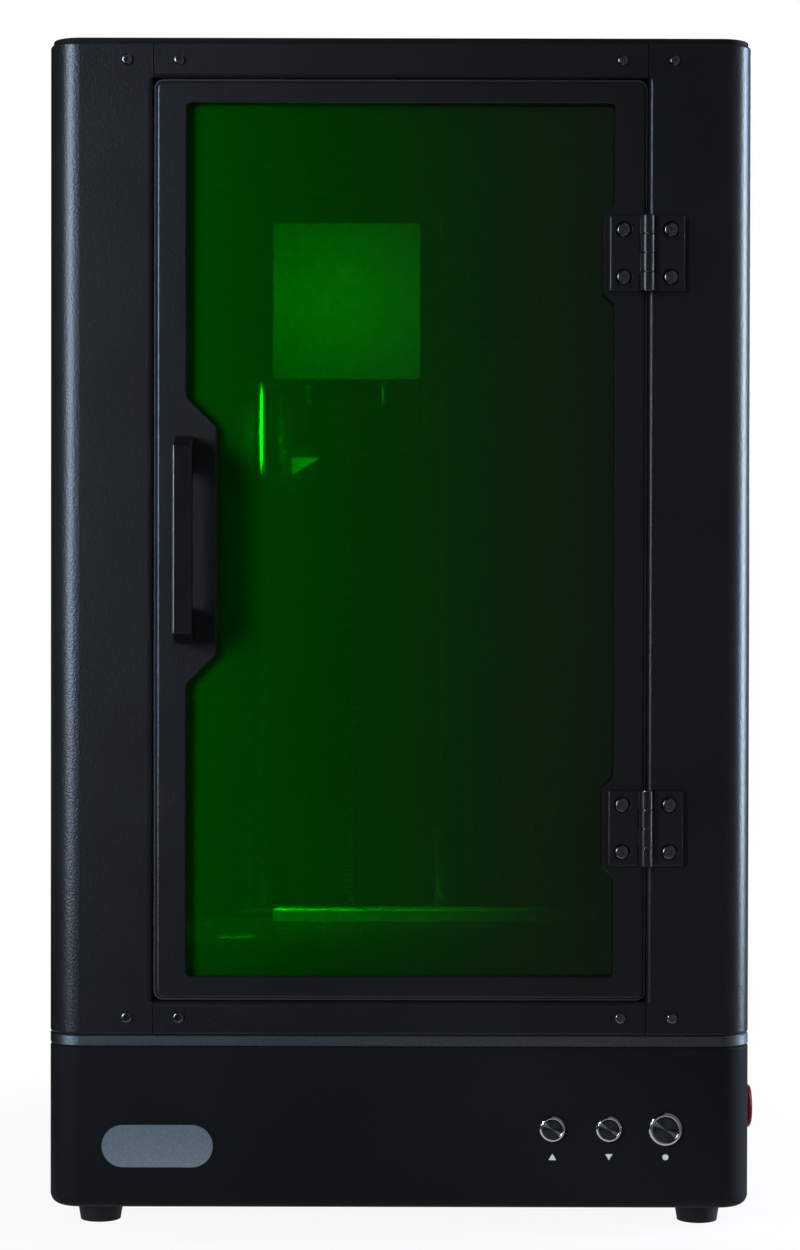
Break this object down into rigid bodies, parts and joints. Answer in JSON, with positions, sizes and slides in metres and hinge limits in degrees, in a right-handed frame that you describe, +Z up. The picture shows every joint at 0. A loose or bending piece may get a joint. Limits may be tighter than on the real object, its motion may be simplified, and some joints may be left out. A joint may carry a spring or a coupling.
{
  "type": "enclosed laser marking machine",
  "caption": "Tall enclosed desktop laser marking cabinet with a green safety-window door, a motor-lifted scanning head over a hole-grid platform, push buttons and an emergency stop.",
  "frame": {"origin": "on the floor under the middle of the casing", "axes": "+X to the right as seen from the front, +Y from the door to the rear, +Z up"},
  "size_m": [0.3802, 0.486, 0.6315],
  "materials": {
    "rubber": "matte moulded rubber",
    "base_coat": "smooth matte black powder coat",
    "cabinet_coat": "fine textured charcoal black powder coat",
    "door_coat": "fine textured black powder coat",
    "deck_aluminium": "bead-blasted clear anodised",
    "plate_aluminium": "bead-blasted clear anodised, bare",
    "black_anodised": "black anodised",
    "black_zinc": "satin black coated zinc casting",
    "black_screws": "black oxide",
    "bright_steel": "ground and polished",
    "stainless": "polished stainless steel",
    "bronze": "turned",
    "safety_green": "clear green laser safety acrylic",
    "lens_glass": "coated optical glass",
    "mirror": "coated scanning mirror",
    "stop_red": "gloss moulded",
    "black_plastic": "moulded",
    "board_green": "solder mask",
    "casing_grey": "mill finish",
    "seal_grey": "foam rubber"
  },
  "bodies": {
    "cabinet": {"rubber_feet": "rubber", "base_housing": "base_coat", "base_cover": "base_coat", "deck_plate": "deck_aluminium", "left_side_shell": "cabinet_coat", "right_side_shell": "cabinet_coat", "front_top_rail": "cabinet_coat", "front_bottom_rail": "cabinet_coat", "rear_panel": "cabinet_coat", "frame_rings": "cabinet_coat", "top_cover": "cabinet_coat", "door_jamb": "cabinet_coat", "door_seal": "seal_grey", "door_latch": "black_plastic", "name_plate": "plate_aluminium", "cabinet_fasteners": "black_screws", "hinge_frame_leaves": "black_zinc", "hinge_pins": "bright_steel", "jog_button_bodies": "stainless", "start_button_body": "stainless", "estop_body": "black_plastic", "work_platform": "black_anodised", "platform_standoffs": "casing_grey", "work_stops": "deck_aluminium", "column_plate": "black_anodised", "shaft_supports": "black_anodised", "guide_shafts": "bright_steel", "z_motor": "casing_grey", "exhaust_collar": "black_plastic", "fan_frame": "black_plastic", "laser_source": "casing_grey", "power_supply": "casing_grey", "control_board": "board_green", "rear_sockets": "black_plastic"},
    "door": {"door_frame": "door_coat", "door_window": "safety_green", "window_retainer": "door_coat", "door_handle": "black_anodised", "door_screws": "black_screws", "hinge_door_leaves": "black_zinc", "latch_strike": "bright_steel"},
    "head": {"carriage_block": "black_anodised", "carriage_bushes": "bronze", "laser_head_body": "black_anodised", "galvo_housing": "casing_grey", "galvo_cover": "casing_grey", "galvo_motors": "casing_grey", "lens_barrel": "black_anodised", "lens_glass": "lens_glass", "red_pointers": "bronze"},
    "x_mirror": {"galvo_x_mirror": "mirror"},
    "y_mirror": {"galvo_y_mirror": "mirror"},
    "screw": {"lead_screw": "bright_steel"},
    "up_button": {"up_button_cap": "stainless"},
    "down_button": {"down_button_cap": "stainless"},
    "start_button": {"start_button_cap": "stainless"},
    "stop_stem": {"estop_stem": "black_plastic"},
    "stop_head": {"estop_head": "stop_red"},
    "fan": {"fan_rotor": "black_plastic"},
    "power_switch": {"power_rocker": "black_plastic"}
  },
  "joints": [
    {"name": "door_swing", "type": "hinge", "parent": "cabinet", "child": "door", "pos_m": [0.13025, -0.21915, 0.3655], "axis": [0, 0, 1], "range_deg": [0, 165]},
    {"name": "head_lift", "type": "slide", "parent": "cabinet", "child": "head", "axis": [0, 0, 1], "range_m": [-0.2, 0.036]},
    {"name": "screw_turn", "type": "hinge", "parent": "cabinet", "child": "screw", "pos_m": [-0.032, 0.175, 0.343], "axis": [0, 0, 1], "continuous": true},
    {"name": "x_scan", "type": "hinge", "parent": "head", "child": "x_mirror", "pos_m": [-0.048, 0.025, 0.5], "axis": [0, 0, 1], "range_deg": [-10, 10]},
    {"name": "y_scan", "type": "hinge", "parent": "head", "child": "y_mirror", "pos_m": [-0.032, 0.025, 0.5], "axis": [0, 1, 0], "range_deg": [-10, 10]},
    {"name": "up_press", "type": "slide", "parent": "cabinet", "child": "up_button", "axis": [0, 1, 0], "range_m": [0, 0.002], "stiffness_N_per_m": 1000},
    {"name": "down_press", "type": "slide", "parent": "cabinet", "child": "down_button", "axis": [0, 1, 0], "range_m": [0, 0.002], "stiffness_N_per_m": 1000},
    {"name": "start_press", "type": "slide", "parent": "cabinet", "child": "start_button", "axis": [0, 1, 0], "range_m": [0, 0.002], "stiffness_N_per_m": 1000},
    {"name": "stop_press", "type": "slide", "parent": "cabinet", "child": "stop_stem", "axis": [-1, 0, 0], "range_m": [0, 0.002], "stiffness_N_per_m": 1500},
    {"name": "stop_twist", "type": "hinge", "parent": "stop_stem", "child": "stop_head", "pos_m": [0.187, -0.161, 0.0565], "axis": [1, 0, 0], "range_deg": [-45, 0], "stiffness_Nm_per_rad": 0.05},
    {"name": "fan_spin", "type": "hinge", "parent": "cabinet", "child": "fan", "pos_m": [0.086, 0.205, 0.548], "axis": [0, 1, 0], "continuous": true},
    {"name": "power_rock", "type": "hinge", "parent": "cabinet", "child": "power_switch", "pos_m": [-0.122, 0.215, 0.06675], "axis": [0, 0, 1], "range_deg": [-16, 0]}
  ],
  "couplings": [
    {"joint": "screw_turn", "follows": "head_lift", "rad_per_m": -785.4}
  ]
}
